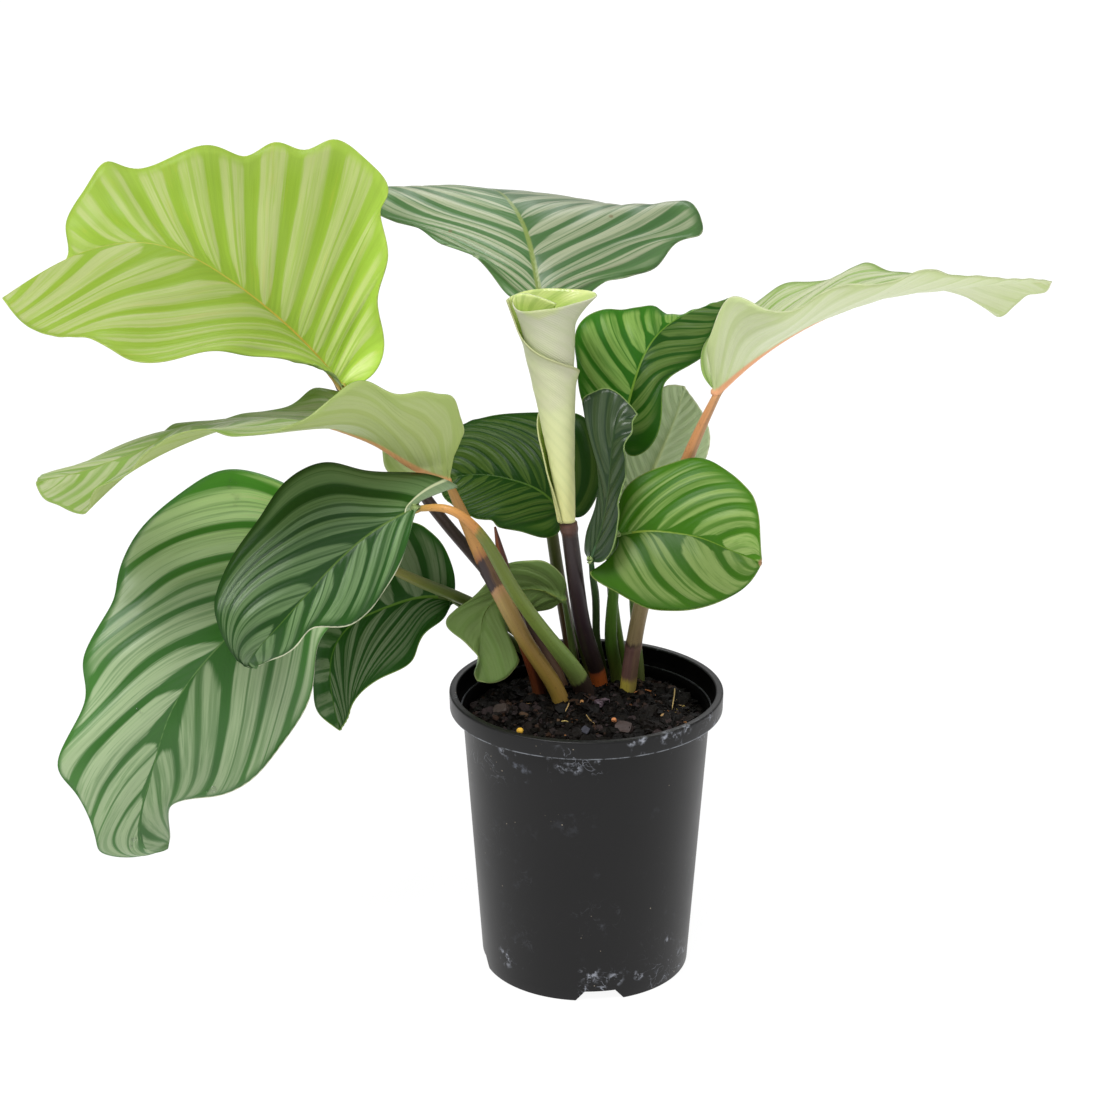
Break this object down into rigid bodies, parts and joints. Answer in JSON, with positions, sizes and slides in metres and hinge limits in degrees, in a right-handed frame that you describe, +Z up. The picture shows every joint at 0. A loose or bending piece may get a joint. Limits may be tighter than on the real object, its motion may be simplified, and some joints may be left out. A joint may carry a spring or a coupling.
{
  "type": "potted calathea orbifolia plant",
  "caption": "Potted calathea with large round leaves striped in light and dark green, a rolled new leaf and arching stems, in a black plastic nursery pot of bark soil.",
  "frame": {"origin": "on the pot's axis, at the height of the floor that the pot stands on", "axes": "+Z up along the pot's axis, -Y towards the viewer of the picture, +X to the picture's right, along the plant's widest spread"},
  "size_m": [0.6121, 0.3993, 0.5101],
  "materials": {
    "pot_plastic": "matte, dusty and scuffed",
    "soil_mix": "rough, moist bark mix",
    "leaf_lime": "satin leaf with pale bands",
    "leaf_light": "satin leaf seen from its pale underside",
    "leaf_striped": "satin leaf with light and dark green bands",
    "leaf_dark": "satin leaf with dark green and grey-green bands",
    "leaf_bright": "satin leaf with bright and dark green bands",
    "leaf_new": "soft cream new leaf",
    "stem_green": "satin leaf stalk",
    "stem_tan": "satin leaf stalk, tan with an orange joint",
    "stem_maroon": "satin dark red leaf stalk"
  },
  "bodies": {
    "root": {"pot": "pot_plastic", "soil": "soil_mix", "leaf_lime_top_left": "leaf_lime", "stem_lime_top_left": "stem_maroon", "leaf_arching_left": "leaf_light", "stem_arching_left": "stem_tan", "leaf_front_left": "leaf_dark", "stem_front_left": "stem_green", "leaf_low_left": "leaf_striped", "stem_low_left": "stem_green", "leaf_behind_left": "leaf_dark", "stem_behind_left": "stem_green", "leaf_top_centre": "leaf_striped", "stem_top_centre": "stem_green", "leaf_upper_right": "leaf_bright", "stem_upper_right": "stem_green", "leaf_narrow_folded": "leaf_dark", "stem_narrow_folded": "stem_green", "leaf_dark_centre": "leaf_dark", "stem_dark_centre": "stem_green", "leaf_round_front_right": "leaf_bright", "stem_round_front_right": "stem_green", "leaf_upright_back_right": "leaf_striped", "stem_upright_back_right": "stem_green", "leaf_arching_right": "leaf_light", "stem_arching_right": "stem_tan", "leaf_small_low_centre": "leaf_striped", "stem_small_low_centre": "stem_green", "leaf_rolled_new": "leaf_new", "stem_rolled_new": "stem_maroon", "shoot_red_pointed": "stem_maroon"}
  },
  "joints": []
}
